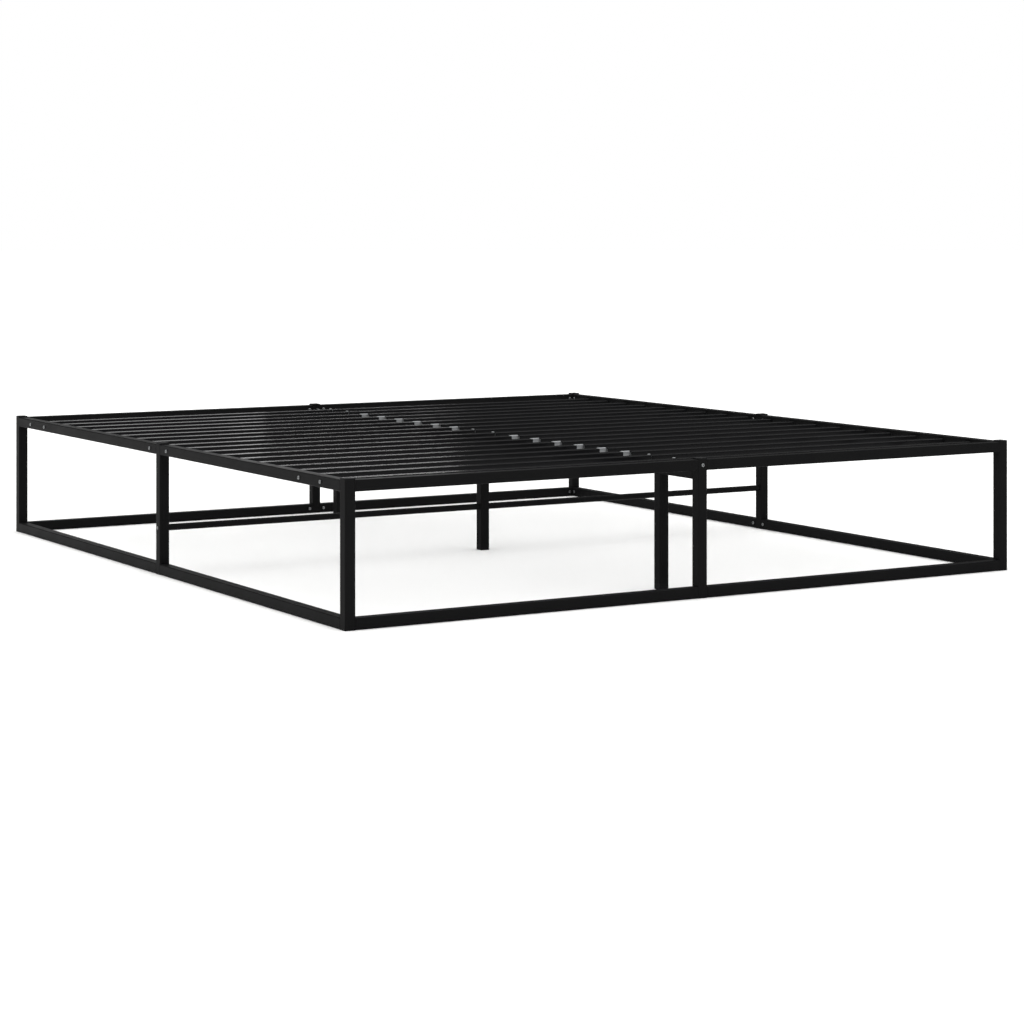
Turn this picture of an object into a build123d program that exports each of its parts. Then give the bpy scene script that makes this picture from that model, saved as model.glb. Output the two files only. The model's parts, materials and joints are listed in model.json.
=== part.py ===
"""Metal bed frame: a box of square tube with bolted corners, a centre beam and flat slats.

All lengths are in millimetres.  The origin is the middle of the footprint on the floor.
+X is the bed's right when seen from the foot end, +Y runs to the head end and +Z is up.
"""

import os

from build123d import *

# ---------------------------------------------------------------- driving dimensions
WIDTH = 1830.0            # outside to outside, across the bed
LENGTH = 2000.0           # outside to outside, foot to head
RAIL_TOP = 317.0          # top of the top rails and of the post tubes
TUBE = 25.0               # square tube of posts, rails, beam and centre legs
TUBE_WALL = 1.2
TUBE_RADIUS = 2.0         # outside corner radius of the square tube

FOOT_FLANGE = 1.0         # glide under each post; the bottom rails clear the floor by it
CAP_HEIGHT = 4.0          # how far a post cap stands above the post
FOOT_PLUG = 14.0          # how far a foot reaches into its tube
CAP_PLUG = 9.0            # how far a cap reaches into its tube, clear of the bolts below
PLUG_PLAY = 0.2           # gap on each side between a plug and the tube round it

SPIGOT = 22.0             # square tube welded to a post, inside the rail's end
SPIGOT_WALL = 1.5
SPIGOT_LENGTH = 30.0
RAIL_BOLT_INSET = 10.0    # rail bolt from the post's side

SLAT_GAPS = 19            # equal spaces between the two end rails, so eighteen slat rows
SLAT_WIDTH = 25.0
SLAT_HEIGHT = 12.0
SLAT_WALL = 1.0
SLAT_RADIUS = 1.5
SLAT_TOP = 310.0
BOLTED_ROWS = (1, 2, 9, 10, 17, 18)

JOINER_WEB = 24.0         # length of a joiner's web, which fills the gap in a welded slat row
JOINER_THICKNESS = 7.0    # of that web, along the bed
JOINER_RISE = 1.0         # how far it stands above the slats
JOINER_PLUG = 25.0        # how far a joiner reaches into each slat half
JOINER_NECK = 5.0         # of that reach, how much is a neck as thin as the web
SLEEVE_GAP = 2.0          # gap between the halves of a bolted slat row
SLAT_SLEEVE_LENGTH = 80.0 # steel sleeve inside the two inner ends of a bolted slat row
SLAT_SLEEVE_WALL = 1.2
SLAT_FILL_RADIUS = 0.8    # corner radius of what fits inside a slat

BEAM_TOP = 296.0
PACKER = 2.0              # pad between the beam and the slats
SLEEVE_LENGTH = 160.0
BRACKET_THICKNESS = 2.5
BRACKET_TOP = 314.0

LEG_FOOT_HEIGHT = 15.0
STRETCHER_DIAMETER = 16.0
STRETCHER_WALL = 1.2
STRETCHER_HEIGHT = 113.5

BOLT_DIAMETER = 5.0
HOLE_PLAY = 0.5           # added to the bolt's diameter in a plain hole
THREAD_PLAY = 0.1         # added to the bolt's diameter in a threaded hole
HEAD_DIAMETER = 8.5
HEAD_HEIGHT = 2.5
SOCKET_FLATS = 3.0
SOCKET_DEPTH = 1.6
NUT_FLATS = 8.0
NUT_HEIGHT = 4.7

# ---------------------------------------------------------------- derived positions
HALF = TUBE / 2
BOTTOM_RAIL_Z = FOOT_FLANGE + HALF
TOP_RAIL_Z = RAIL_TOP - HALF
POST_X = WIDTH / 2 - HALF         # centre line of the side posts and side rails
POST_Y = LENGTH / 2 - HALF        # centre line of the end posts and end rails
SLAT_PITCH = 2 * POST_Y / SLAT_GAPS
SLAT_Z = SLAT_TOP - SLAT_HEIGHT / 2
FILL_WIDTH = SLAT_WIDTH - 2 * SLAT_WALL - 2 * PLUG_PLAY     # of what fits inside a slat
FILL_HEIGHT = SLAT_HEIGHT - 2 * SLAT_WALL - 2 * PLUG_PLAY
BEAM_Z = BEAM_TOP - HALF
BEAM_BOTTOM = BEAM_TOP - TUBE
BEAM_BOLT_Z = SLAT_Z
BEAM_END_Y = POST_Y - HALF - BRACKET_THICKNESS
BORE = TUBE - 2 * TUBE_WALL       # inside width of the square tube
SIDES = {"left": -1, "right": 1}
ENDS = {"foot": -1, "head": 1}
LEG_ROWS = {"foot": 1.5, "mid": 9.5, "head": 17.5}


def slat_y(row):
    """Y of a slat row, counted from the foot; halves fall between two rows."""
    return -POST_Y + row * SLAT_PITCH


# ---------------------------------------------------------------- building blocks
def hollow(width, depth, wall, radius, length):
    """Closed tube along Z, centred on the origin, with rounded corners in and out."""
    outside = RectangleRounded(width, depth, radius)
    inside = RectangleRounded(width - 2 * wall, depth - 2 * wall, radius - wall / 2)
    return extrude(outside - inside, amount=length / 2, both=True)


def square_tube(length, axis):
    """The frame's square tube, centred on the origin and laid along axis X, Y or Z."""
    tube = hollow(TUBE, TUBE, TUBE_WALL, TUBE_RADIUS, length)
    return lay_along(tube, axis)


def lay_along(shape, axis):
    """Turn a shape made along Z so that it runs along X or Y."""
    if axis == "X":
        return Rot(0, 90, 0) * shape
    if axis == "Y":
        return Rot(90, 0, 0) * shape
    return shape


def drill(point, direction, length, diameter):
    """Cylinder from point along direction, used to cut a hole."""
    plane = Plane(origin=point, z_dir=direction)
    return plane * Pos(0, 0, length / 2) * Cylinder(diameter / 2, length)


def button_bolt(point, direction, length):
    """Socket button bolt: point is under the head and direction is from tip to head."""
    shank = Pos(0, 0, -length / 2) * Cylinder(BOLT_DIAMETER / 2, length)
    shank = chamfer(shank.edges().sort_by(Axis.Z)[0], 0.6)
    head = Pos(0, 0, HEAD_HEIGHT / 2) * Cylinder(HEAD_DIAMETER / 2, HEAD_HEIGHT)
    head = fillet(head.edges().sort_by(Axis.Z)[-1], HEAD_HEIGHT * 0.6)
    socket = extrude(
        RegularPolygon(SOCKET_FLATS / 2, 6, major_radius=False), amount=SOCKET_DEPTH
    )
    head -= Pos(0, 0, HEAD_HEIGHT - SOCKET_DEPTH) * socket
    return Plane(origin=point, z_dir=direction) * (shank + head)


def hex_nut(point, direction):
    """Hexagon nut whose bearing face is at point and whose body lies along direction."""
    nut = extrude(RegularPolygon(NUT_FLATS / 2, 6, major_radius=False), amount=NUT_HEIGHT)
    nut -= Pos(0, 0, NUT_HEIGHT / 2) * Cylinder(
        (BOLT_DIAMETER + THREAD_PLAY) / 2, NUT_HEIGHT * 2
    )
    return Plane(origin=point, z_dir=direction) * nut


def post_plug(flange, rounded, depth):
    """Plastic end plug: flange from z 0 upwards, plug below it; top edges rounded."""
    head = extrude(RectangleRounded(TUBE, TUBE, TUBE_RADIUS), amount=flange)
    head = fillet(head.faces().sort_by(Axis.Z)[-1].edges(), rounded)
    width = BORE - 2 * PLUG_PLAY
    plug = extrude(RectangleRounded(width, width, 1.0), amount=-depth)
    return head + plug


# ---------------------------------------------------------------- posts
def post(x, y):
    """Vertical tube of a corner or mid post."""
    height = RAIL_TOP - FOOT_FLANGE
    return Pos(x, y, FOOT_FLANGE + height / 2) * square_tube(height, "Z")


def corner_posts():
    """The four corner posts, by name."""
    posts = {}
    for end, sy in ENDS.items():
        for side, sx in SIDES.items():
            posts[f"corner_post_{end}_{side}"] = post(sx * POST_X, sy * POST_Y)
    return posts


def mid_posts():
    """The four mid posts, each drilled through for the bolt that it carries."""
    posts = {}
    for side, sx in SIDES.items():
        hole = drill(
            (sx * (WIDTH / 2 + 1), 0, STRETCHER_HEIGHT),
            (-sx, 0, 0),
            TUBE + 2,
            BOLT_DIAMETER + HOLE_PLAY,
        )
        posts[f"mid_post_{side}"] = post(sx * POST_X, 0) - hole
    for end, sy in ENDS.items():
        hole = drill(
            (0, sy * (LENGTH / 2 + 1), BEAM_BOLT_Z),
            (0, -sy, 0),
            TUBE + 2,
            BOLT_DIAMETER + HOLE_PLAY,
        )
        posts[f"mid_post_{end}"] = post(0, sy * POST_Y) - hole
    return posts


def post_centres():
    """Centres of all eight posts in plan."""
    centres = [(sx * POST_X, sy * POST_Y) for sx in (-1, 1) for sy in (-1, 1)]
    centres += [(sx * POST_X, 0) for sx in (-1, 1)]
    centres += [(0, sy * POST_Y) for sy in (-1, 1)]
    return centres


# ---------------------------------------------------------------- rails
def side_rail_span():
    """Start and end of a side rail half, measured from the mid post along Y."""
    return HALF, POST_Y - HALF


def end_rail_span():
    """Start and end of an end rail half, measured from the mid post along X."""
    return HALF, POST_X - HALF


def rail_bolt_distances(span):
    """Where the two bolts of a rail half sit along it."""
    start, stop = span
    return start + RAIL_BOLT_INSET, stop - RAIL_BOLT_INSET


def side_rail(sx, sy, z, bolted_slats):
    """Half of a side rail, with bolt holes in its inner wall and, on top, slat bolt holes."""
    start, stop = side_rail_span()
    middle = sy * (start + stop) / 2
    rail = Pos(sx * POST_X, middle, z) * square_tube(stop - start, "Y")
    plain = BOLT_DIAMETER + HOLE_PLAY
    for distance in rail_bolt_distances((start, stop)):
        mouth = (sx * (POST_X - HALF - 1), sy * distance, z)
        rail -= drill(mouth, (sx, 0, 0), HALF, plain)
    if bolted_slats:
        for row in BOLTED_ROWS:
            if slat_y(row) * sy > 0:
                mouth = (sx * (WIDTH / 2 + 1), slat_y(row), SLAT_Z)
                rail -= drill(mouth, (-sx, 0, 0), TUBE + 2, plain)
    return rail


def end_rail(sx, sy, z):
    """Half of a foot or head rail, with bolt holes in its inner wall."""
    start, stop = end_rail_span()
    middle = sx * (start + stop) / 2
    rail = Pos(middle, sy * POST_Y, z) * square_tube(stop - start, "X")
    for distance in rail_bolt_distances((start, stop)):
        mouth = (sx * distance, sy * (POST_Y - HALF - 1), z)
        rail -= drill(mouth, (0, sy, 0), HALF, BOLT_DIAMETER + HOLE_PLAY)
    return rail


def rails():
    """All sixteen rail halves, by name."""
    made = {}
    for level, z in (("top", TOP_RAIL_Z), ("bottom", BOTTOM_RAIL_Z)):
        for side, sx in SIDES.items():
            for end, sy in ENDS.items():
                made[f"{level}_rail_{side}_{end}"] = side_rail(sx, sy, z, level == "top")
                made[f"{level}_rail_{end}_{side}"] = end_rail(sx, sy, z)
    return made


def spigot(point, direction):
    """Short tube from a post's side along direction, threaded on the face towards the bed."""
    tube = hollow(SPIGOT, SPIGOT, SPIGOT_WALL, TUBE_RADIUS, SPIGOT_LENGTH)
    axis = "X" if direction[0] else "Y"
    x, y, z = point
    dx, dy = direction
    centre = (x + dx * SPIGOT_LENGTH / 2, y + dy * SPIGOT_LENGTH / 2, z)
    made = Pos(*centre) * lay_along(tube, axis)
    inward = (0, -1 if y > 0 else 1, 0) if direction[0] else (-1 if x > 0 else 1, 0, 0)
    bolt = (x + dx * RAIL_BOLT_INSET, y + dy * RAIL_BOLT_INSET, z)
    return made - drill(bolt, inward, HALF, BOLT_DIAMETER + THREAD_PLAY)


def spigots():
    """Spigots on both ends of every rail half."""
    made = []
    for z in (TOP_RAIL_Z, BOTTOM_RAIL_Z):
        for sx in (-1, 1):
            for sy in (-1, 1):
                start, stop = side_rail_span()
                made.append(spigot((sx * POST_X, sy * start, z), (0, sy)))
                made.append(spigot((sx * POST_X, sy * stop, z), (0, -sy)))
                start, stop = end_rail_span()
                made.append(spigot((sx * start, sy * POST_Y, z), (sx, 0)))
                made.append(spigot((sx * stop, sy * POST_Y, z), (-sx, 0)))
    return made


def rail_bolts():
    """Bolts through the inner wall of each rail half into its spigots."""
    made = []
    length = 12.0
    for z in (TOP_RAIL_Z, BOTTOM_RAIL_Z):
        for sx in (-1, 1):
            for sy in (-1, 1):
                for distance in rail_bolt_distances(side_rail_span()):
                    face = (sx * (POST_X - HALF), sy * distance, z)
                    made.append(button_bolt(face, (-sx, 0, 0), length))
                for distance in rail_bolt_distances(end_rail_span()):
                    face = (sx * distance, sy * (POST_Y - HALF), z)
                    made.append(button_bolt(face, (0, -sy, 0), length))
    return made


# ---------------------------------------------------------------- slats
def slat_half(sx, row, slot):
    """Flat tube from a side rail's inner wall to the slot on the centre line."""
    outer = POST_X - HALF
    inner = slot / 2
    length = outer - inner
    tube = hollow(SLAT_HEIGHT, SLAT_WIDTH, SLAT_WALL, SLAT_RADIUS, length)
    return Pos(sx * (outer + inner) / 2, slat_y(row), SLAT_Z) * lay_along(tube, "X")


def welded_slats():
    """Slats welded to each side rail half, one group for each quarter of the bed."""
    made = {}
    rows = [row for row in range(1, SLAT_GAPS) if row not in BOLTED_ROWS]
    for side, sx in SIDES.items():
        for end, sy in ENDS.items():
            group = [row for row in rows if slat_y(row) * sy > 0]
            made[f"welded_slats_{side}_{end}"] = [
                slat_half(sx, row, JOINER_WEB) for row in group
            ]
    return made


def bolted_slats():
    """Slat rows bolted at both ends and on the centre line, one node for each row."""
    return {
        f"bolted_slat_row_{row:02d}": [
            slat_half(sx, row, SLEEVE_GAP) - centre_hole(row) for sx in (-1, 1)
        ]
        for row in BOLTED_ROWS
    }


def centre_hole(row):
    """Upright hole on the centre line through a bolted slat row and what is in it."""
    mouth = (0, slat_y(row), SLAT_TOP + 1)
    return drill(mouth, (0, 0, -1), SLAT_HEIGHT + 2, BOLT_DIAMETER + HOLE_PLAY)


def slat_inserts():
    """Threaded blocks in the outer ends of the bolted slats."""
    length = 20.0
    section = RectangleRounded(FILL_HEIGHT, FILL_WIDTH, SLAT_FILL_RADIUS)
    solid = lay_along(extrude(section, amount=length / 2, both=True), "X")
    made = []
    for row in BOLTED_ROWS:
        for sx in (-1, 1):
            face = sx * (POST_X - HALF)
            block = Pos(face - sx * length / 2, slat_y(row), SLAT_Z) * solid
            mouth = (face + sx, slat_y(row), SLAT_Z)
            made.append(
                block - drill(mouth, (-sx, 0, 0), length + 2, BOLT_DIAMETER + THREAD_PLAY)
            )
    return made


def slat_end_bolts():
    """Long bolts through the side rails into the bolted slats."""
    length = TUBE + 15.0
    return [
        button_bolt((sx * WIDTH / 2, slat_y(row), SLAT_Z), (sx, 0, 0), length)
        for row in BOLTED_ROWS
        for sx in (-1, 1)
    ]


def joiner():
    """Plastic joiner at the origin: a web on the pad, with a neck and a plug on each side."""
    top = SLAT_TOP + JOINER_RISE
    bottom = BEAM_TOP + PACKER
    web = Pos(0, 0, (top + bottom) / 2) * Box(JOINER_WEB, JOINER_THICKNESS, top - bottom)
    web = fillet(web.edges().filter_by(Axis.X).sort_by(Axis.Z)[-2:], 1.0)
    necks = Box(JOINER_WEB + 2 * JOINER_NECK, JOINER_THICKNESS, FILL_HEIGHT)
    body = web + Pos(0, 0, SLAT_Z) * necks
    section = RectangleRounded(FILL_HEIGHT, FILL_WIDTH, SLAT_FILL_RADIUS)
    length = JOINER_PLUG - JOINER_NECK
    plug = lay_along(extrude(section, amount=length / 2, both=True), "X")
    for sx in (-1, 1):
        middle = sx * (JOINER_WEB / 2 + JOINER_PLUG - length / 2)
        body += Pos(middle, 0, SLAT_Z) * plug
    return body


def slat_joiners():
    """Plastic joiners that hold the inner ends of the welded slats in line."""
    shape = joiner()
    rows = [row for row in range(1, SLAT_GAPS) if row not in BOLTED_ROWS]
    return [Pos(0, slat_y(row), 0) * shape for row in rows]


def slat_sleeves():
    """Steel sleeves inside the inner ends of the bolted slats, drilled for one bolt."""
    tube = hollow(
        FILL_HEIGHT, FILL_WIDTH, SLAT_SLEEVE_WALL, SLAT_FILL_RADIUS, SLAT_SLEEVE_LENGTH
    )
    tube = lay_along(tube, "X")
    return [Pos(0, slat_y(row), SLAT_Z) * tube - centre_hole(row) for row in BOLTED_ROWS]


def slat_packers():
    """Pads on the beam under every slat row, drilled where a bolt passes."""
    made = []
    for row in range(1, SLAT_GAPS):
        pad = Pos(0, slat_y(row), BEAM_TOP + PACKER / 2) * Box(TUBE, SLAT_WIDTH, PACKER)
        if row in BOLTED_ROWS:
            mouth = (0, slat_y(row), BEAM_TOP - 1)
            pad -= drill(mouth, (0, 0, 1), PACKER + 2, BOLT_DIAMETER + HOLE_PLAY)
        made.append(pad)
    return made


def slat_centre_bolts():
    """Bolts down through the bolted slats into the centre beam."""
    length = SLAT_TOP - BEAM_TOP + 12.0
    return [
        button_bolt((0, slat_y(row), SLAT_TOP), (0, 0, 1), length) for row in BOLTED_ROWS
    ]


# ---------------------------------------------------------------- centre beam
def beam_half(sy):
    """Half of the centre beam with its bolt holes; the halves meet on the mid leg."""
    beam = Pos(0, sy * BEAM_END_Y / 2, BEAM_Z) * square_tube(BEAM_END_Y, "Y")
    for row in BOLTED_ROWS:
        if slat_y(row) * sy > 0:
            near_sleeve = abs(slat_y(row)) < SLEEVE_LENGTH / 2
            play = HOLE_PLAY if near_sleeve else THREAD_PLAY
            mouth = (0, slat_y(row), BEAM_TOP + 1)
            beam -= drill(mouth, (0, 0, -1), HALF, BOLT_DIAMETER + play)
    for row in LEG_ROWS.values():
        if slat_y(row) * sy > -1:
            mouth = (0, slat_y(row), BEAM_TOP + 1)
            beam -= drill(mouth, (0, 0, -1), TUBE + 2, BOLT_DIAMETER + HOLE_PLAY)
    return beam


def beam_sleeve():
    """Tube inside the two beam halves where they meet."""
    sleeve = Pos(0, 0, BEAM_Z) * lay_along(
        hollow(SPIGOT, SPIGOT, SPIGOT_WALL, TUBE_RADIUS, SLEEVE_LENGTH), "Y"
    )
    mouth = (0, 0, BEAM_TOP + 1)
    sleeve -= drill(mouth, (0, 0, -1), TUBE + 2, BOLT_DIAMETER + HOLE_PLAY)
    for row in BOLTED_ROWS:
        if abs(slat_y(row)) < SLEEVE_LENGTH / 2:
            mouth = (0, slat_y(row), BEAM_TOP + 1)
            sleeve -= drill(mouth, (0, 0, -1), HALF, BOLT_DIAMETER + THREAD_PLAY)
    return sleeve


def beam_brackets():
    """Plates on the beam's ends, bolted to the inner faces of the end mid posts."""
    made = []
    height = BRACKET_TOP - BEAM_BOTTOM
    for sy in (-1, 1):
        centre = sy * (BEAM_END_Y + BRACKET_THICKNESS / 2)
        plate = Pos(0, centre, BEAM_BOTTOM + height / 2) * Box(
            TUBE, BRACKET_THICKNESS, height
        )
        mouth = (0, sy * (BEAM_END_Y - 1), BEAM_BOLT_Z)
        plate -= drill(
            mouth, (0, sy, 0), BRACKET_THICKNESS + 2, BOLT_DIAMETER + HOLE_PLAY
        )
        made.append(plate)
    return made


# ---------------------------------------------------------------- centre legs
def centre_legs():
    """Three legs under the beam; the mid one also takes the stretcher's stud."""
    made = {}
    height = BEAM_BOTTOM - LEG_FOOT_HEIGHT
    for name, row in LEG_ROWS.items():
        leg = Pos(0, slat_y(row), LEG_FOOT_HEIGHT + height / 2) * square_tube(height, "Z")
        if name == "mid":
            mouth = (-TUBE, 0, STRETCHER_HEIGHT)
            leg -= drill(mouth, (1, 0, 0), 2 * TUBE, BOLT_DIAMETER + HOLE_PLAY)
        made[f"centre_leg_{name}"] = leg
    return made


def leg_inserts():
    """Threaded blocks in the tops of the centre legs."""
    depth = 20.0
    width = BORE - 2 * PLUG_PLAY
    solid = extrude(RectangleRounded(width, width, 1.0), amount=-depth)
    made = []
    for row in LEG_ROWS.values():
        block = Pos(0, slat_y(row), BEAM_BOTTOM) * solid
        mouth = (0, slat_y(row), BEAM_BOTTOM + 1)
        made.append(block - drill(mouth, (0, 0, -1), depth + 2, BOLT_DIAMETER + THREAD_PLAY))
    return made


def leg_bolts():
    """Bolts from the top of the beam down into the leg inserts."""
    length = TUBE + 15.0
    return [
        button_bolt((0, slat_y(row), BEAM_TOP), (0, 0, 1), length)
        for row in LEG_ROWS.values()
    ]


# ---------------------------------------------------------------- stretcher
def stretcher_span():
    """Start and end of a stretcher half, measured from the bed's centre line."""
    return HALF, POST_X - HALF


def stretchers():
    """Round bars from the mid leg to the side mid posts."""
    made = {}
    start, stop = stretcher_span()
    outside = STRETCHER_DIAMETER / 2
    ring = Circle(outside) - Circle(outside - STRETCHER_WALL)
    tube = lay_along(extrude(ring, amount=(stop - start) / 2, both=True), "X")
    for side, sx in SIDES.items():
        made[f"stretcher_{side}"] = Pos(sx * (start + stop) / 2, 0, STRETCHER_HEIGHT) * tube
    return made


def stretcher_inserts():
    """Threaded plugs in both ends of each stretcher half."""
    made = []
    depth = 25.0
    radius = STRETCHER_DIAMETER / 2 - STRETCHER_WALL - PLUG_PLAY
    ring = Circle(radius) - Circle((BOLT_DIAMETER + THREAD_PLAY) / 2)
    plug = lay_along(extrude(ring, amount=depth / 2, both=True), "X")
    start, stop = stretcher_span()
    for sx in (-1, 1):
        for centre in (start + depth / 2, stop - depth / 2):
            made.append(Pos(sx * centre, 0, STRETCHER_HEIGHT) * plug)
    return made


def stretcher_stud():
    """Stud through the mid leg into the inner plugs of both stretcher halves."""
    length = TUBE + 2 * 20.0
    rod = Cylinder(BOLT_DIAMETER / 2, length)
    rod = chamfer(rod.edges().filter_by(GeomType.CIRCLE), 0.6)
    return Pos(0, 0, STRETCHER_HEIGHT) * lay_along(rod, "X")


def mid_post_bolts():
    """Bolts through the mid posts: two hold the stretcher and two hold the beam."""
    length = TUBE + 15.0
    made = []
    for sx in (-1, 1):
        made.append(button_bolt((sx * WIDTH / 2, 0, STRETCHER_HEIGHT), (sx, 0, 0), length))
    for sy in (-1, 1):
        made.append(button_bolt((0, sy * LENGTH / 2, BEAM_BOLT_Z), (0, sy, 0), length))
    return made


def beam_nuts():
    """Nuts on the beam bolts, against the inside of the brackets."""
    return [
        hex_nut((0, sy * BEAM_END_Y, BEAM_BOLT_Z), (0, -sy, 0)) for sy in (-1, 1)
    ]


# ---------------------------------------------------------------- plastic ends
def post_caps():
    """Caps on the tops of the eight posts."""
    cap = post_plug(CAP_HEIGHT, 2.5, CAP_PLUG)
    return [Pos(x, y, RAIL_TOP) * cap for x, y in post_centres()]


def post_feet():
    """Glides under the eight posts."""
    glide = Rot(180, 0, 0) * post_plug(FOOT_FLANGE, 0.4, FOOT_PLUG)
    return [Pos(x, y, FOOT_FLANGE) * glide for x, y in post_centres()]


def leg_feet():
    """Deeper feet under the three centre legs."""
    foot = Rot(180, 0, 0) * post_plug(LEG_FOOT_HEIGHT, 2.0, FOOT_PLUG)
    return [Pos(0, slat_y(row), LEG_FOOT_HEIGHT) * foot for row in LEG_ROWS.values()]


# ---------------------------------------------------------------- the whole frame
def all_nodes():
    """Every node of the bed frame: a name and a solid or a list of solids."""
    nodes = {}
    nodes.update(corner_posts())
    nodes.update(mid_posts())
    nodes.update(rails())
    nodes["rail_spigots"] = spigots()
    nodes["rail_bolts"] = rail_bolts()
    nodes.update(welded_slats())
    nodes.update(bolted_slats())
    nodes["slat_inserts"] = slat_inserts()
    nodes["slat_end_bolts"] = slat_end_bolts()
    nodes["slat_joiners"] = slat_joiners()
    nodes["slat_sleeves"] = slat_sleeves()
    nodes["slat_packers"] = slat_packers()
    nodes["slat_centre_bolts"] = slat_centre_bolts()
    nodes["centre_beam_foot"] = beam_half(-1)
    nodes["centre_beam_head"] = beam_half(1)
    nodes["beam_sleeve"] = beam_sleeve()
    nodes["beam_brackets"] = beam_brackets()
    nodes["beam_nuts"] = beam_nuts()
    nodes["mid_post_bolts"] = mid_post_bolts()
    nodes.update(centre_legs())
    nodes["leg_inserts"] = leg_inserts()
    nodes["leg_bolts"] = leg_bolts()
    nodes.update(stretchers())
    nodes["stretcher_inserts"] = stretcher_inserts()
    nodes["stretcher_stud"] = stretcher_stud()
    nodes["post_caps"] = post_caps()
    nodes["post_feet"] = post_feet()
    nodes["leg_feet"] = leg_feet()
    return nodes


def main():
    """Write one STEP file for each node."""
    os.makedirs("parts", exist_ok=True)
    for name, shape in all_nodes().items():
        solid = Compound(children=shape) if isinstance(shape, list) else shape
        export_step(solid, f"parts/{name}.step")


main()
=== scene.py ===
"""Looks of a black steel bed frame: its finishes, its mouldings and weld beads, and a studio.

Lengths are in metres, and a name that ends in _mm is in millimetres.  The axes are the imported
model's: +X is the bed's right seen from the foot end, +Y runs to the head end and +Z is up.
"""

import json
import logging
import math
from collections.abc import Callable, Iterable
from dataclasses import dataclass
from enum import Enum

import bmesh
import bpy
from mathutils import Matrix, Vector


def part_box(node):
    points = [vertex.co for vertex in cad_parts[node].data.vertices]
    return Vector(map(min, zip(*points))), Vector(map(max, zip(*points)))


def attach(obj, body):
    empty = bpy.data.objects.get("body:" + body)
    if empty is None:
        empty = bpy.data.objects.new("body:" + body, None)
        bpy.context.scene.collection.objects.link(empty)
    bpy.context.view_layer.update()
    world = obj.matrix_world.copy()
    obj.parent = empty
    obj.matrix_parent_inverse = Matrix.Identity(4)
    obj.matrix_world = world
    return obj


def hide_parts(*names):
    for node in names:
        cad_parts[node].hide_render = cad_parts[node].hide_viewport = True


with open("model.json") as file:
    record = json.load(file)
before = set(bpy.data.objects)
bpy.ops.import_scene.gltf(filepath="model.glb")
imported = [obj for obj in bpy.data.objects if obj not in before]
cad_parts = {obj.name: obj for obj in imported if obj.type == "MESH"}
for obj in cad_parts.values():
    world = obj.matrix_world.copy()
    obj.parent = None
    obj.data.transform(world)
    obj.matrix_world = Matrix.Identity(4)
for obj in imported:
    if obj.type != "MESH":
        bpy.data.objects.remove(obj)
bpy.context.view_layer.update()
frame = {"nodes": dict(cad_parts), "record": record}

log = logging.getLogger("bed_frame")

MM = 0.001
ROOT = "root"                     # the one body that every piece rides on

TUBE = 25.0 * MM                  # square tube of the posts, rails, beam and legs
TUBE_RADIUS = 2.0 * MM            # outside corner radius of that tube
TUBE_WALL = 1.2 * MM
SLAT_WIDTH = 25.0 * MM
SLAT_HEIGHT = 12.0 * MM
SLAT_WALL = 1.0 * MM
PLUG_PLAY = 0.2 * MM              # gap on each side between a plug and the tube round it
ROWS_IN_GROUP = 6                 # welded slat rows in each quarter of the bed

SIDES = {"left": -1, "right": 1}
ENDS = ("foot", "head")

FACING = 0.99                     # a unit normal's part along the axis that its face looks down
PARALLEL = 0.999                  # share of an edge's length that lies along its axis
CREASE_DEGREES = 35.0             # edges sharper than this stay sharp

MIX_FIRST = 6                     # a Mix node's two colour inputs, by number
MIX_SECOND = 7
MIX_RESULT = 2                    # its colour output
FULL_SPAN = (0.0, 1.0)
NOISE_SPAN = (0.3, 0.7)           # where nearly all of a noise texture's values lie


class Slot(Enum):
    """The record's material slots."""

    POWDER_COAT = "powder_coat"
    SLAT_COAT = "slat_coat"
    INNER_STEEL = "inner_steel"
    ZINC_STEEL = "zinc_steel"
    BLACK_PLASTIC = "black_plastic"
    GREY_PLASTIC = "grey_plastic"


class Axis(Enum):
    """The three axes, by their place in a vector."""

    X = 0
    Y = 1
    Z = 2


class Element(Enum):
    """What can be picked in edit mode, by its collection in the mesh."""

    EDGE = "edges"
    FACE = "faces"


# ---------------------------------------------------------------- node and colour helpers
def linear(hex_colour: str) -> tuple[float, float, float, float]:
    """Turn an sRGB colour into the linear colour that a shader takes.

    Args:
        hex_colour: The colour as "#rrggbb".

    Returns:
        Linear red, green and blue, and an alpha of 1.
    """
    channels = [int(hex_colour[i : i + 2], 16) / 255 for i in (1, 3, 5)]
    turned = [c / 12.92 if c <= 0.04045 else ((c + 0.055) / 1.055) ** 2.4 for c in channels]
    return (*turned, 1.0)


def per_metre(size_mm: float) -> float:
    """Give the texture scale whose features are about size_mm across."""
    return 1.0 / (size_mm * MM)


def add_node(
    tree: bpy.types.NodeTree,
    kind: str,
    inputs: dict[str | int, object] | None = None,
    **settings: object,
) -> bpy.types.Node:
    """Add a node with its settings, values and links.

    Args:
        tree: The node tree that gets the node.
        kind: The node's type name.
        inputs: Input name or number to a value, or to the output socket that feeds it.
        **settings: The node's own properties.

    Returns:
        The new node.
    """
    node = tree.nodes.new(kind)
    for name, value in settings.items():
        setattr(node, name, value)
    for key, value in (inputs or {}).items():
        if isinstance(value, bpy.types.NodeSocket):
            tree.links.new(value, node.inputs[key])
        else:
            node.inputs[key].default_value = value
    return node


def blank_material(name: str) -> bpy.types.Material:
    """Make a node material with an empty tree.

    Args:
        name: The material's name.

    Returns:
        The material.
    """
    material = bpy.data.materials.new(name)
    material.use_nodes = True
    material.node_tree.nodes.clear()
    return material


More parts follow.
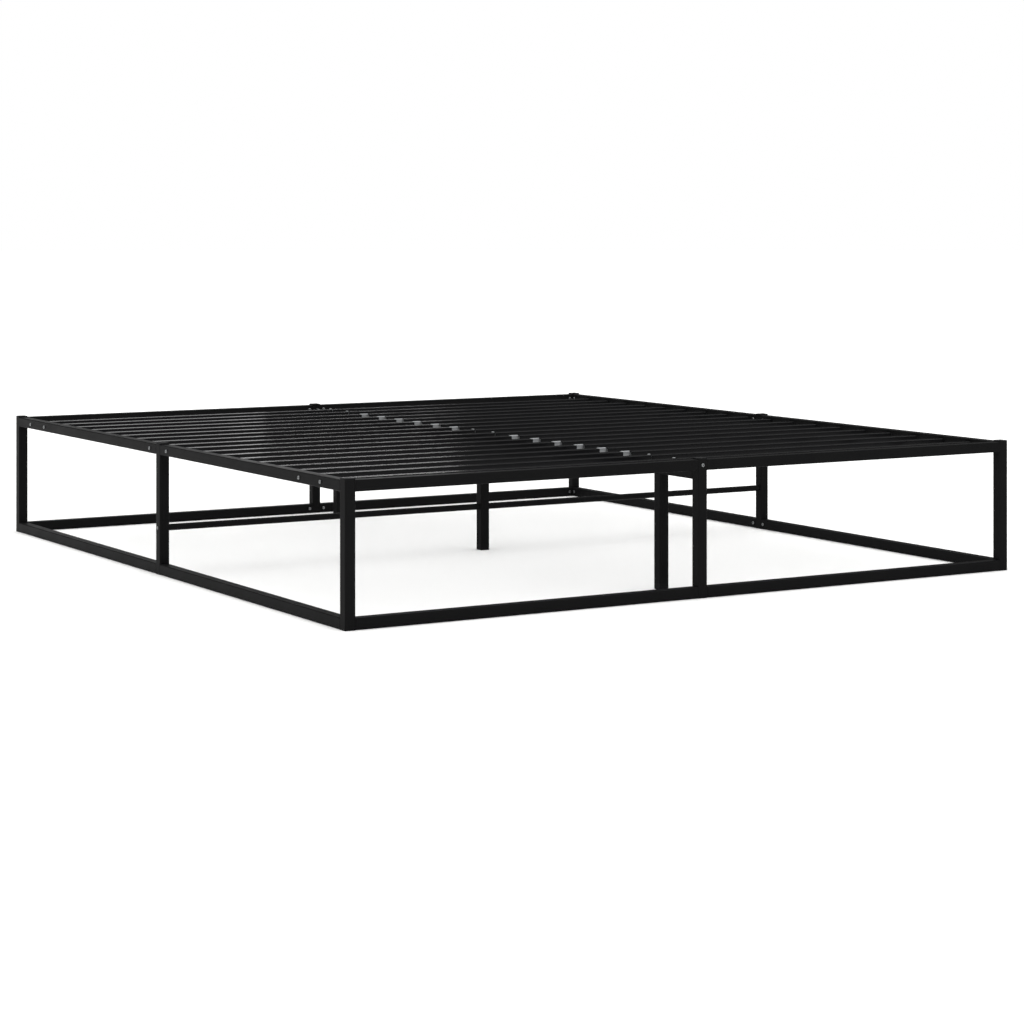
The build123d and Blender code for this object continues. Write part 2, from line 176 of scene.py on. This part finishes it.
def mottle(
    tree: bpy.types.NodeTree,
    pattern: bpy.types.NodeSocket,
    colours: tuple[str, str],
    roughness: tuple[float, float],
    span: tuple[float, float] = FULL_SPAN,
) -> dict[str | int, object]:
    """Let one pattern vary a finish's colour and its roughness together.

    Args:
        tree: The material's node tree.
        pattern: The pattern's output.
        colours: The colours at the pattern's low and high ends, as "#rrggbb".
        roughness: The roughness at those two ends.
        span: The pattern's values between which the roughness changes.

    Returns:
        The shader inputs that the pattern feeds.
    """
    colour = add_node(
        tree,
        "ShaderNodeMix",
        {"Factor": pattern, MIX_FIRST: linear(colours[0]), MIX_SECOND: linear(colours[1])},
        data_type="RGBA",
    )
    dullness = add_node(
        tree,
        "ShaderNodeMapRange",
        {
            "Value": pattern,
            "From Min": span[0],
            "From Max": span[1],
            "To Min": roughness[0],
            "To Max": roughness[1],
        },
    )
    return {
        "Base Color": colour.outputs[MIX_RESULT],
        "Roughness": dullness.outputs["Result"],
    }


# ---------------------------------------------------------------- finishes
@dataclass(frozen=True)
class PowderCoat:
    """Polyester powder sprayed on steel and baked: a satin black skin with a faint orange peel."""

    name: str
    deep: str                     # colour where the film is thick
    thin: str                     # colour where it is thin, a touch greyer
    gloss: float                  # lowest roughness
    dull: float                   # highest roughness
    specular: float
    peel_mm: float = 3.0          # real peel is 1 to 3 mm; the coarse end shows best
    peel_octaves: float = 2.0
    peel_height_mm: float = 0.02
    film_mm: float = 70.0         # how far apart thick and thin film lie
    film_octaves: float = 3.0
    grain_mm: float = 0.6         # sand-like grain of the baked powder
    grain_octaves: float = 1.0
    grain_height_mm: float = 0.006

    def build(self) -> bpy.types.Material:
        """Build the coat.

        Returns:
            The material.
        """
        material = blank_material(self.name)
        tree = material.node_tree
        place = add_node(tree, "ShaderNodeTexCoord").outputs["Object"]
        film = add_node(
            tree,
            "ShaderNodeTexNoise",
            {"Vector": place, "Scale": per_metre(self.film_mm), "Detail": self.film_octaves},
        )
        peel = add_node(
            tree,
            "ShaderNodeTexNoise",
            {"Vector": place, "Scale": per_metre(self.peel_mm), "Detail": self.peel_octaves},
        )
        grain = add_node(
            tree,
            "ShaderNodeTexNoise",
            {"Vector": place, "Scale": per_metre(self.grain_mm), "Detail": self.grain_octaves},
        )
        waves = add_node(
            tree,
            "ShaderNodeBump",
            {"Height": peel.outputs["Fac"], "Distance": self.peel_height_mm * MM},
        )
        skin = add_node(
            tree,
            "ShaderNodeBump",
            {
                "Height": grain.outputs["Fac"],
                "Distance": self.grain_height_mm * MM,
                "Normal": waves.outputs["Normal"],
            },
        )
        colours = (self.deep, self.thin)
        roughness = (self.gloss, self.dull)
        shader = add_node(
            tree,
            "ShaderNodeBsdfPrincipled",
            {
                **mottle(tree, film.outputs["Fac"], colours, roughness, NOISE_SPAN),
                "Specular IOR Level": self.specular,
                "Normal": skin.outputs["Normal"],
            },
        )
        add_node(tree, "ShaderNodeOutputMaterial", {"Surface": shader.outputs["BSDF"]})
        return material


@dataclass(frozen=True)
class ZincPlate:
    """Zinc plate on a cold-headed screw: a dulled silver with cloudy passivation and fine rubs."""

    name: str = "bright_zinc_plate"
    bright: str = "#989a9d"
    cloudy: str = "#727472"
    gloss: float = 0.3
    dull: float = 0.48
    cloud_mm: float = 2.5
    cloud_octaves: float = 4.0
    rub_mm: float = 0.5
    rub_swirl: float = 1.5        # how far the rubs curl
    rub_height_mm: float = 0.008

    def build(self) -> bpy.types.Material:
        """Build the plate.

        Returns:
            The material.
        """
        material = blank_material(self.name)
        tree = material.node_tree
        place = add_node(tree, "ShaderNodeTexCoord").outputs["Object"]
        cloud = add_node(
            tree,
            "ShaderNodeTexNoise",
            {"Vector": place, "Scale": per_metre(self.cloud_mm), "Detail": self.cloud_octaves},
        )
        rub = add_node(
            tree,
            "ShaderNodeTexNoise",
            {"Vector": place, "Scale": per_metre(self.rub_mm), "Distortion": self.rub_swirl},
        )
        scratches = add_node(
            tree,
            "ShaderNodeBump",
            {"Height": rub.outputs["Fac"], "Distance": self.rub_height_mm * MM},
        )
        colours = (self.bright, self.cloudy)
        roughness = (self.gloss, self.dull)
        shader = add_node(
            tree,
            "ShaderNodeBsdfPrincipled",
            {
                **mottle(tree, cloud.outputs["Fac"], colours, roughness, NOISE_SPAN),
                "Metallic": 1.0,
                "Normal": scratches.outputs["Normal"],
            },
        )
        add_node(tree, "ShaderNodeOutputMaterial", {"Surface": shader.outputs["BSDF"]})
        return material


@dataclass(frozen=True)
class DrawnSteel:
    """Plain cold-drawn tube inside the joints: dull grey, with an oily, smeared sheen."""

    name: str = "drawn_steel_tube"
    clean: str = "#8f9295"
    oiled: str = "#5d5f61"
    gloss: float = 0.35
    dull: float = 0.6
    smear_mm: float = 12.0
    smear_octaves: float = 3.0
    draw_mark_mm: float = 0.8     # fine marks left by the die
    draw_mark_height_mm: float = 0.01

    def build(self) -> bpy.types.Material:
        """Build the steel.

        Returns:
            The material.
        """
        material = blank_material(self.name)
        tree = material.node_tree
        place = add_node(tree, "ShaderNodeTexCoord").outputs["Object"]
        smear = add_node(
            tree,
            "ShaderNodeTexNoise",
            {"Vector": place, "Scale": per_metre(self.smear_mm), "Detail": self.smear_octaves},
        )
        marks = add_node(
            tree,
            "ShaderNodeTexNoise",
            {"Vector": place, "Scale": per_metre(self.draw_mark_mm)},
        )
        relief = add_node(
            tree,
            "ShaderNodeBump",
            {"Height": marks.outputs["Fac"], "Distance": self.draw_mark_height_mm * MM},
        )
        colours = (self.clean, self.oiled)
        roughness = (self.gloss, self.dull)
        shader = add_node(
            tree,
            "ShaderNodeBsdfPrincipled",
            {
                **mottle(tree, smear.outputs["Fac"], colours, roughness),
                "Metallic": 1.0,
                "Normal": relief.outputs["Normal"],
            },
        )
        add_node(tree, "ShaderNodeOutputMaterial", {"Surface": shader.outputs["BSDF"]})
        return material


@dataclass(frozen=True)
class MouldedPlastic:
    """Polypropylene from a spark-eroded mould: an even colour under a fine leather-like grain."""

    name: str
    flat_colour: str
    flow_colour: str              # faint flow marks left by the gate
    gloss: float
    dull: float
    specular: float
    flow_mm: float = 14.0
    flow_swirl: float = 0.6       # how far the flow marks curl
    grain_mm: float = 0.5
    grain_height_mm: float = 0.02

    def build(self) -> bpy.types.Material:
        """Build the plastic.

        Returns:
            The material.
        """
        material = blank_material(self.name)
        tree = material.node_tree
        place = add_node(tree, "ShaderNodeTexCoord").outputs["Object"]
        flow = add_node(
            tree,
            "ShaderNodeTexNoise",
            {"Vector": place, "Scale": per_metre(self.flow_mm), "Distortion": self.flow_swirl},
        )
        cells = add_node(
            tree,
            "ShaderNodeTexVoronoi",
            {"Vector": place, "Scale": per_metre(self.grain_mm)},
            feature="SMOOTH_F1",
        )
        grain = add_node(
            tree,
            "ShaderNodeBump",
            {"Height": cells.outputs["Distance"], "Distance": self.grain_height_mm * MM},
        )
        colours = (self.flat_colour, self.flow_colour)
        roughness = (self.gloss, self.dull)
        shader = add_node(
            tree,
            "ShaderNodeBsdfPrincipled",
            {
                **mottle(tree, flow.outputs["Fac"], colours, roughness),
                "Specular IOR Level": self.specular,
                "Normal": grain.outputs["Normal"],
            },
        )
        add_node(tree, "ShaderNodeOutputMaterial", {"Surface": shader.outputs["BSDF"]})
        return material


class Finishes:
    """Every finish of the bed frame, built once and handed out by slot."""

    def __init__(self) -> None:
        """Build the six materials."""
        # Jet black powder, satin: near black, with soft wide reflections.
        frame_coat = PowderCoat(
            "satin_black_powder_coat",
            deep="#141415",
            thin="#191919",
            gloss=0.32,
            dull=0.40,
            specular=0.018,
        )
        # The same powder on the slats, where it is taken to have flowed out glossier.
        slat_coat = PowderCoat(
            "glossier_black_powder_coat",
            deep="#121213",
            thin="#171718",
            gloss=0.15,
            dull=0.20,
            specular=0.06,
            peel_height_mm=0.008,
            grain_height_mm=0.002,
        )
        # Caps, feet and pads: matt black, duller than the coat beside them.
        black_plastic = MouldedPlastic(
            "black_moulded_polypropylene",
            flat_colour="#121213",
            flow_colour="#171718",
            gloss=0.42,
            dull=0.55,
            specular=0.05,
        )
        # The joiners on the centre line are left in a pale grey.
        grey_plastic = MouldedPlastic(
            "pale_grey_moulded_polypropylene",
            flat_colour="#9a9c9e",
            flow_colour="#a6a8a9",
            gloss=0.42,
            dull=0.55,
            specular=0.3,
        )
        self.by_slot: dict[Slot, bpy.types.Material] = {
            Slot.POWDER_COAT: frame_coat.build(),
            Slot.SLAT_COAT: slat_coat.build(),
            Slot.INNER_STEEL: DrawnSteel().build(),
            Slot.ZINC_STEEL: ZincPlate().build(),
            Slot.BLACK_PLASTIC: black_plastic.build(),
            Slot.GREY_PLASTIC: grey_plastic.build(),
        }

    def dress(self, piece: bpy.types.Object, slot: Slot) -> None:
        """Give a new piece the finish of a material slot.

        Args:
            piece: The piece.
            slot: The material slot in the record.
        """
        piece.data.materials.clear()
        piece.data.materials.append(self.by_slot[slot])

    def dress_cad_nodes(self) -> None:
        """Give every CAD node the finish of the material slot that the record names for it."""
        for part in frame["record"]["subparts"]:
            node = frame["nodes"][part["node"]]
            finish = self.by_slot[Slot(part["material_slot"])]
            for socket in node.material_slots:
                socket.material = finish
            log.info("finish %s: %s", node.name, finish.name)


# ---------------------------------------------------------------- modelling helpers
def deselect_all() -> None:
    """Leave edit mode and select nothing."""
    if bpy.context.object and bpy.context.object.mode != "OBJECT":
        bpy.ops.object.mode_set(mode="OBJECT")
    bpy.ops.object.select_all(action="DESELECT")


def select_only(*pieces: bpy.types.Object) -> None:
    """Select these pieces alone and make the first one active.

    Args:
        *pieces: The pieces, of which there is at least one.
    """
    deselect_all()
    for piece in pieces:
        piece.select_set(True)
    bpy.context.view_layer.objects.active = pieces[0]


def pick(
    piece: bpy.types.Object,
    element: Element,
    wanted: Callable[[bmesh.types.BMEdge | bmesh.types.BMFace], bool],
) -> None:
    """In edit mode, select just the edges or just the faces that wanted() accepts.

    Args:
        piece: The mesh object being edited.
        element: Whether edges or faces are picked.
        wanted: A test of one edge or face.
    """
    bpy.ops.mesh.select_mode(type=element.name)
    bpy.ops.mesh.select_all(action="DESELECT")
    mesh = bmesh.from_edit_mesh(piece.data)
    chosen = [item for item in getattr(mesh, element.value) if wanted(item)]
    for item in chosen:
        item.select_set(True)
    bmesh.update_edit_mesh(piece.data)


def runs_along(edge: bmesh.types.BMEdge, axis: Axis) -> bool:
    """Say whether an edge is parallel to an axis."""
    run = edge.verts[1].co - edge.verts[0].co
    return abs(run[axis.value]) > PARALLEL * run.length


def lowest_end(edge: bmesh.types.BMEdge) -> float:
    """Give the height of an edge's lower end."""
    return min(corner.co.z for corner in edge.verts)


def block(name: str, low: Vector, high: Vector) -> bpy.types.Object:
    """Add a box between two corners, with its scale applied, and enter edit mode.

    Args:
        name: The new object's name.
        low: The lowest corner.
        high: The highest corner.

    Returns:
        The object, in edit mode.
    """
    deselect_all()
    bpy.ops.mesh.primitive_cube_add(size=1.0, location=(low + high) / 2, scale=high - low)
    piece = bpy.context.object
    piece.name = name
    bpy.ops.object.transform_apply(location=True, rotation=True, scale=True)
    bpy.ops.object.mode_set(mode="EDIT")
    return piece


def smooth(piece: bpy.types.Object, degrees: float = CREASE_DEGREES) -> None:
    """Leave edit mode and shade smooth across edges flatter than degrees."""
    select_only(piece)
    bpy.ops.object.shade_smooth_by_angle(angle=math.radians(degrees))


def spread(master: bpy.types.Object, name: str, places: Iterable[Vector]) -> bpy.types.Object:
    """Copy a finished shape to many places and join the copies into one piece at the origin.

    Args:
        master: The shape, modelled round the origin. It is removed afterwards.
        name: The joined piece's name.
        places: Where each copy goes.

    Returns:
        The joined piece.
    """
    copies = []
    for place in places:
        copy = master.copy()
        copy.data = master.data.copy()
        bpy.context.scene.collection.objects.link(copy)
        copy.location = place
        copies.append(copy)
    bpy.data.objects.remove(master)
    select_only(*copies)
    bpy.ops.object.join()
    bpy.ops.object.transform_apply(location=True, rotation=True, scale=True)
    piece = bpy.context.object
    piece.name = name
    piece.data.name = name
    return piece


def fasten(piece: bpy.types.Object, finishes: Finishes, slot: Slot) -> None:
    """Dress a finished piece, let it ride on the frame and report it.

    Args:
        piece: The piece.
        finishes: The bed frame's finishes.
        slot: The slot of the finish that it gets.
    """
    finishes.dress(piece, slot)
    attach(piece, ROOT)
    log.info("piece %s: %d faces", piece.name, len(piece.data.polygons))


# ---------------------------------------------------------------- sub-assemblies
@dataclass
class PostCaps:
    """Black mouldings that close the tops of the eight posts."""

    height: float = 4.0 * MM
    rim: float = 3.0 * MM         # flat rim round the crowned middle
    crown: float = 0.35 * MM      # how far that middle stands above the rim
    edge_segments: int = 5
    plug_depth: float = 9.0 * MM
    plug_inset: float = TUBE_WALL + PLUG_PLAY

    def model(self) -> bpy.types.Object:
        """Model one cap on the origin, with its flange from z 0 upwards.

        Returns:
            The cap.
        """
        half = TUBE / 2
        body_height = self.height - self.crown
        cap = block("cap", Vector((-half, -half, 0)), Vector((half, half, body_height)))
        pick(
            cap,
            Element.EDGE,
            lambda edge: runs_along(edge, Axis.Z) or lowest_end(edge) > body_height / 2,
        )
        bpy.ops.mesh.bevel(offset=TUBE_RADIUS, segments=self.edge_segments, affect="EDGES")
        pick(cap, Element.FACE, lambda face: face.normal.z > FACING)
        bpy.ops.mesh.inset(thickness=self.rim)
        bpy.ops.transform.translate(value=(0, 0, self.crown))
        pick(cap, Element.FACE, lambda face: face.normal.z < -FACING)
        bpy.ops.mesh.inset(thickness=self.plug_inset)
        bpy.ops.mesh.extrude_region_move(
            TRANSFORM_OT_translate={"value": (0, 0, -self.plug_depth)}
        )
        smooth(cap)
        return cap

    def build(self, finishes: Finishes) -> None:
        """Set a cap on every post and let it stand for the CAD caps.

        Args:
            finishes: The bed frame's finishes.
        """
        places = []
        for name in post_names():
            low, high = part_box(name)
            places.append(Vector(((low.x + high.x) / 2, (low.y + high.y) / 2, high.z)))
        caps = spread(self.model(), "post_cap_mouldings", places)
        fasten(caps, finishes, Slot.BLACK_PLASTIC)
        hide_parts("post_caps")


def post_names() -> list[str]:
    """List the eight posts' CAD nodes."""
    corners = [f"corner_post_{end}_{side}" for end in ENDS for side in SIDES]
    return corners + [f"mid_post_{place}" for place in (*SIDES, *ENDS)]


def welded_rows(side: str, end: str) -> list[float]:
    """Find the Y of each welded slat row in one quarter of the bed.

    Args:
        side: "left" or "right".
        end: "foot" or "head".

    Returns:
        The rows' centre lines in metres, with the row nearest the foot first.
    """
    low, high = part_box(f"welded_slats_{side}_{end}")
    first = low.y + SLAT_WIDTH / 2
    pitch = (high.y - low.y - SLAT_WIDTH) / (ROWS_IN_GROUP - 1)
    return [first + pitch * row for row in range(ROWS_IN_GROUP)]


@dataclass
class SlatJoiners:
    """Pale plastic joiners in the gaps of the welded slats, on the centre line."""

    length: float = 24.0 * MM
    thickness: float = 7.0 * MM
    height: float = 13.0 * MM     # from the pad on the beam to just above the slats
    crown_edge: float = 1.2 * MM  # radius of the web's top edges
    crown_segments: int = 4
    panel_margin: float = 2.4 * MM
    panel_depth: float = 0.6 * MM
    plug_width: float = SLAT_WIDTH - 2 * (SLAT_WALL + PLUG_PLAY)
    plug_height: float = SLAT_HEIGHT - 2 * (SLAT_WALL + PLUG_PLAY)
    plug_reach: float = 25.0 * MM  # from the web to the plug's far end
    plug_edge: float = 0.8 * MM   # radius of the plug's and neck's long edges
    plug_segments: int = 3
    neck: float = 5.0 * MM        # between the web and the plug, as thin as the web
    root: float = 1.0 * MM        # overlap of web, neck and plug

    def web(self) -> bpy.types.Object:
        """Model the upright web, with rounded top edges and a sunk panel in each side.

        Returns:
            The web, with its foot at z 0 and its middle on the Z axis.
        """
        corner = Vector((self.length / 2, self.thickness / 2, self.height))
        web = block("web", Vector((-corner.x, -corner.y, 0.0)), corner)
        pick(
            web,
            Element.EDGE,
            lambda edge: runs_along(edge, Axis.X) and lowest_end(edge) > self.height / 2,
        )
        bpy.ops.mesh.bevel(
            offset=self.crown_edge, segments=self.crown_segments, affect="EDGES"
        )
        pick(web, Element.FACE, lambda face: abs(face.normal.y) > FACING)
        bpy.ops.mesh.inset(thickness=self.panel_margin, use_individual=True)
        bpy.ops.mesh.inset(
            thickness=self.panel_depth, depth=-self.panel_depth, use_individual=True
        )
        smooth(web)
        return web

    def inner_bar(self, side: int, start: float, stop: float, width: float) -> bpy.types.Object:
        """Model a bar that lies inside one slat half, with its long edges rounded.

        Args:
            side: -1 for the left half, 1 for the right.
            start: The distance of its near end from the centre line.
            stop: The distance of its far end.
            width: Its width along the bed.

        Returns:
            The bar, in the web's place.
        """
        middle = Vector((0.0, 0.0, SLAT_HEIGHT / 2))
        reach = Vector((0.0, width / 2, self.plug_height / 2))
        ends = sorted((side * start, side * stop))
        low = middle - reach + Vector((ends[0], 0.0, 0.0))
        high = middle + reach + Vector((ends[1], 0.0, 0.0))
        bar = block("inner_bar", low, high)
        pick(bar, Element.EDGE, lambda edge: runs_along(edge, Axis.X))
        bpy.ops.mesh.bevel(offset=self.plug_edge, segments=self.plug_segments, affect="EDGES")
        smooth(bar)
        return bar

    def inner_bars(self, side: int) -> list[bpy.types.Object]:
        """Model the neck and the plug that hold one slat half.

        Args:
            side: -1 for the left half, 1 for the right.

        Returns:
            The neck and the plug.
        """
        web_end = self.length / 2
        shoulder = web_end + self.neck
        return [
            self.inner_bar(side, web_end - self.root, shoulder + self.root, self.thickness),
            self.inner_bar(side, shoulder, web_end + self.plug_reach, self.plug_width),
        ]

    def build(self, finishes: Finishes) -> None:
        """Set a joiner in every welded slat row and let it stand for the CAD joiners.

        Args:
            finishes: The bed frame's finishes.
        """
        joiner = self.web()
        bars = [bar for side in SIDES.values() for bar in self.inner_bars(side)]
        select_only(joiner, *bars)
        bpy.ops.object.join()
        foot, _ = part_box("slat_joiners")
        rows = [y for end in ENDS for y in welded_rows("left", end)]
        places = [Vector((0.0, y, foot.z)) for y in rows]
        joiners = spread(joiner, "slat_joiner_mouldings", places)
        fasten(joiners, finishes, Slot.GREY_PLASTIC)
        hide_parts("slat_joiners")


@dataclass
class SlatWelds:
    """Short ripple beads that hold the welded slats to the side rails."""

    radius: float = 2.0 * MM
    side_length: float = 9.0 * MM
    under_length: float = 20.0 * MM
    ripples: int = 5
    sections: int = 10            # corners of the bead's round section
    waist: float = 0.82           # share of the radius between two ripples
    tip: float = 0.45             # share of the radius where a bead starts and stops
    crease_degrees: float = 80.0  # a bead's edges sharper than this stay sharp

    def model(self, length: float) -> bpy.types.Object:
        """Model one upright bead centred on the origin.

        Args:
            length: The bead's length.

        Returns:
            The bead.
        """
        deselect_all()
        bpy.ops.mesh.primitive_circle_add(
            vertices=self.sections,
            radius=self.radius * self.tip,
            fill_type="NGON",
            location=(0, 0, -length / 2),
        )
        bead = bpy.context.object
        bpy.ops.object.transform_apply(location=True, rotation=True, scale=True)
        bpy.ops.object.mode_set(mode="EDIT")
        bpy.ops.mesh.select_all(action="SELECT")
        bands = 2 * self.ripples - 1
        profile = [self.waist if band % 2 else 1.0 for band in range(bands)]
        profile.append(self.tip)
        step = length / len(profile)
        width = self.tip
        for count, share in enumerate(profile, start=1):
            bpy.ops.mesh.extrude_region_move(TRANSFORM_OT_translate={"value": (0, 0, step)})
            scale = share / width
            bpy.ops.transform.resize(
                value=(scale, scale, 1.0),
                center_override=(0, 0, -length / 2 + count * step),
            )
            width = share
        bpy.ops.mesh.select_all(action="SELECT")
        bpy.ops.mesh.normals_make_consistent(inside=False)
        smooth(bead, self.crease_degrees)
        return bead

    def lay_flat(self, bead: bpy.types.Object) -> bpy.types.Object:
        """Turn an upright bead so that it runs along Y.

        Args:
            bead: The upright bead, centred on the origin.

        Returns:
            The same bead, laid flat.
        """
        select_only(bead)
        bead.rotation_euler = (math.pi / 2, 0.0, 0.0)
        bpy.ops.object.transform_apply(location=True, rotation=True, scale=True)
        return bead

    def build(self, finishes: Finishes) -> None:
        """Run beads down both sides of each welded slat's end and under it.

        Args:
            finishes: The bed frame's finishes.
        """
        for side, sx in SIDES.items():
            for end in ENDS:
                low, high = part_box(f"welded_slats_{side}_{end}")
                wall = high.x if sx > 0 else low.x
                middle = (low.z + high.z) / 2
                rows = welded_rows(side, end)
                sides = [
                    Vector((wall, y + edge * SLAT_WIDTH / 2, middle))
                    for y in rows
                    for edge in (-1, 1)
                ]
                under = [Vector((wall, y, low.z)) for y in rows]
                upright = spread(self.model(self.side_length), "upright", sides)
                flat = spread(self.lay_flat(self.model(self.under_length)), "flat", under)
                select_only(upright, flat)
                bpy.ops.object.join()
                beads = bpy.context.object
                beads.name = f"weld_beads_{side}_{end}"
                fasten(beads, finishes, Slot.SLAT_COAT)


# ---------------------------------------------------------------- studio and camera
@dataclass(frozen=True)
class SoftBox:
    """A rectangular soft box, hidden from the camera."""

    name: str
    place: tuple[float, float, float]   # its middle
    aim: tuple[float, float, float]     # the point that it faces
    size: tuple[float, float]           # width and height
    power: float                        # in watts

    def hang(self) -> None:
        """Hang the soft box at its place."""
        deselect_all()
        place = Vector(self.place)
        bpy.ops.object.light_add(type="AREA", location=place)
        box = bpy.context.object
        box.name = self.name
        box.data.shape = "RECTANGLE"
        box.data.size, box.data.size_y = self.size
        box.data.energy = self.power
        box.rotation_euler = (Vector(self.aim) - place).to_track_quat("-Z", "Y").to_euler()
        box.visible_camera = False
        log.info("light %s", self.name)


@dataclass
class Studio:
    """A pale matt floor, a dome that is bright overhead and two soft boxes past the head end."""

    floor_radius: float = 60.0
    floor_corners: int = 96
    floor_colour: str = "#fafaf9"
    sky_colour: str = "#ffffff"
    backdrop: float = 1.0         # brightness of the plain backdrop above the floor
    dome_low: float = 0.03        # dome brightness near the horizon
    dome_high: float = 1.85       # dome brightness overhead
    fade_from: float = 0.30       # sine of the height where the dome starts to brighten
    fade_to: float = 0.65         # and where it is at its brightest
    soft_boxes: tuple[SoftBox, ...] = (
        SoftBox(
            "soft_box_low",
            place=(1.1, 5.4, 0.95),
            aim=(-0.6, 0.0, 0.3),
            size=(1.5, 0.8),
            power=2.4,
        ),
        SoftBox(
            "soft_box_high",
            place=(2.35, 5.4, 1.5),
            aim=(-0.3, -0.6, 0.3),
            size=(1.1, 0.55),
            power=4.2,
        ),
    )

    def build(self) -> None:
        """Build the floor, the dome and the soft boxes."""
        self.lay_floor()
        self.raise_dome()
        for box in self.soft_boxes:
            box.hang()

    def lay_floor(self) -> None:
        """Lay the floor at z 0."""
        deselect_all()
        bpy.ops.mesh.primitive_circle_add(
            vertices=self.floor_corners, radius=self.floor_radius, fill_type="NGON"
        )
        floor = bpy.context.object
        floor.name = "studio_floor"
        material = blank_material("matt_white_studio_floor")
        tree = material.node_tree
        shader = add_node(
            tree,
            "ShaderNodeBsdfPrincipled",
            {
                "Base Color": linear(self.floor_colour),
                "Roughness": 1.0,
                "Specular IOR Level": 0.0,
            },
        )
        add_node(tree, "ShaderNodeOutputMaterial", {"Surface": shader.outputs["BSDF"]})
        floor.data.materials.append(material)
        log.info("stage %s", floor.name)

    def raise_dome(self) -> None:
        """Light the scene from a dome that is bright overhead and dim near the horizon."""
        world = bpy.data.worlds.new("studio_dome")
        bpy.context.scene.world = world
        world.use_nodes = True
        tree = world.node_tree
        tree.nodes.clear()
        direction = add_node(tree, "ShaderNodeTexCoord").outputs["Generated"]
        height = add_node(tree, "ShaderNodeSeparateXYZ", {"Vector": direction}).outputs["Z"]
        strength = add_node(
            tree,
            "ShaderNodeMapRange",
            {
                "Value": height,
                "From Min": self.fade_from,
                "From Max": self.fade_to,
                "To Min": self.dome_low,
                "To Max": self.dome_high,
            },
            interpolation_type="SMOOTHSTEP",
        )
        dome = add_node(
            tree,
            "ShaderNodeBackground",
            {"Color": linear(self.sky_colour), "Strength": strength.outputs["Result"]},
        )
        plain = add_node(
            tree,
            "ShaderNodeBackground",
            {"Color": linear(self.sky_colour), "Strength": self.backdrop},
        )
        seen = add_node(tree, "ShaderNodeLightPath").outputs["Is Camera Ray"]
        both = add_node(
            tree,
            "ShaderNodeMixShader",
            {0: seen, 1: dome.outputs["Background"], 2: plain.outputs["Background"]},
        )
        add_node(tree, "ShaderNodeOutputWorld", {"Surface": both.outputs["Shader"]})


@dataclass
class Viewpoint:
    """A level camera to the left of the foot end, with its lens shifted down to the bed."""

    place: Vector
    turn_degrees: float           # from +Y towards +X
    lens_mm: float
    shift_down: float             # as a share of the frame
    sensor_mm: float = 36.0
    nearest: float = 0.1          # nothing nearer than this is drawn
    farthest: float = 200.0

    def build(self) -> None:
        """Make the camera and use it for the scene."""
        data = bpy.data.cameras.new("bed_camera")
        data.sensor_width = self.sensor_mm
        data.lens = self.lens_mm
        data.shift_y = -self.shift_down
        data.clip_start = self.nearest
        data.clip_end = self.farthest
        camera = bpy.data.objects.new("bed_camera", data)
        bpy.context.scene.collection.objects.link(camera)
        camera.location = self.place
        camera.rotation_euler = (math.pi / 2, 0.0, -math.radians(self.turn_degrees))
        bpy.context.scene.camera = camera
        log.info("camera at %s", tuple(round(v, 3) for v in self.place))


def main() -> None:
    """Finish the bed frame, then set up its studio and camera."""
    logging.basicConfig(level=logging.INFO, format="%(message)s")
    bpy.context.scene.view_settings.view_transform = "Standard"
    finishes = Finishes()
    finishes.dress_cad_nodes()
    PostCaps().build(finishes)
    SlatJoiners().build(finishes)
    SlatWelds().build(finishes)
    Studio().build()
    Viewpoint(
        place=Vector((-3.3674, -5.8014, 0.8694)),
        turn_degrees=30.785,
        lens_mm=90.07,
        shift_down=0.2876,
    ).build()


if __name__ == "__main__":
    main()
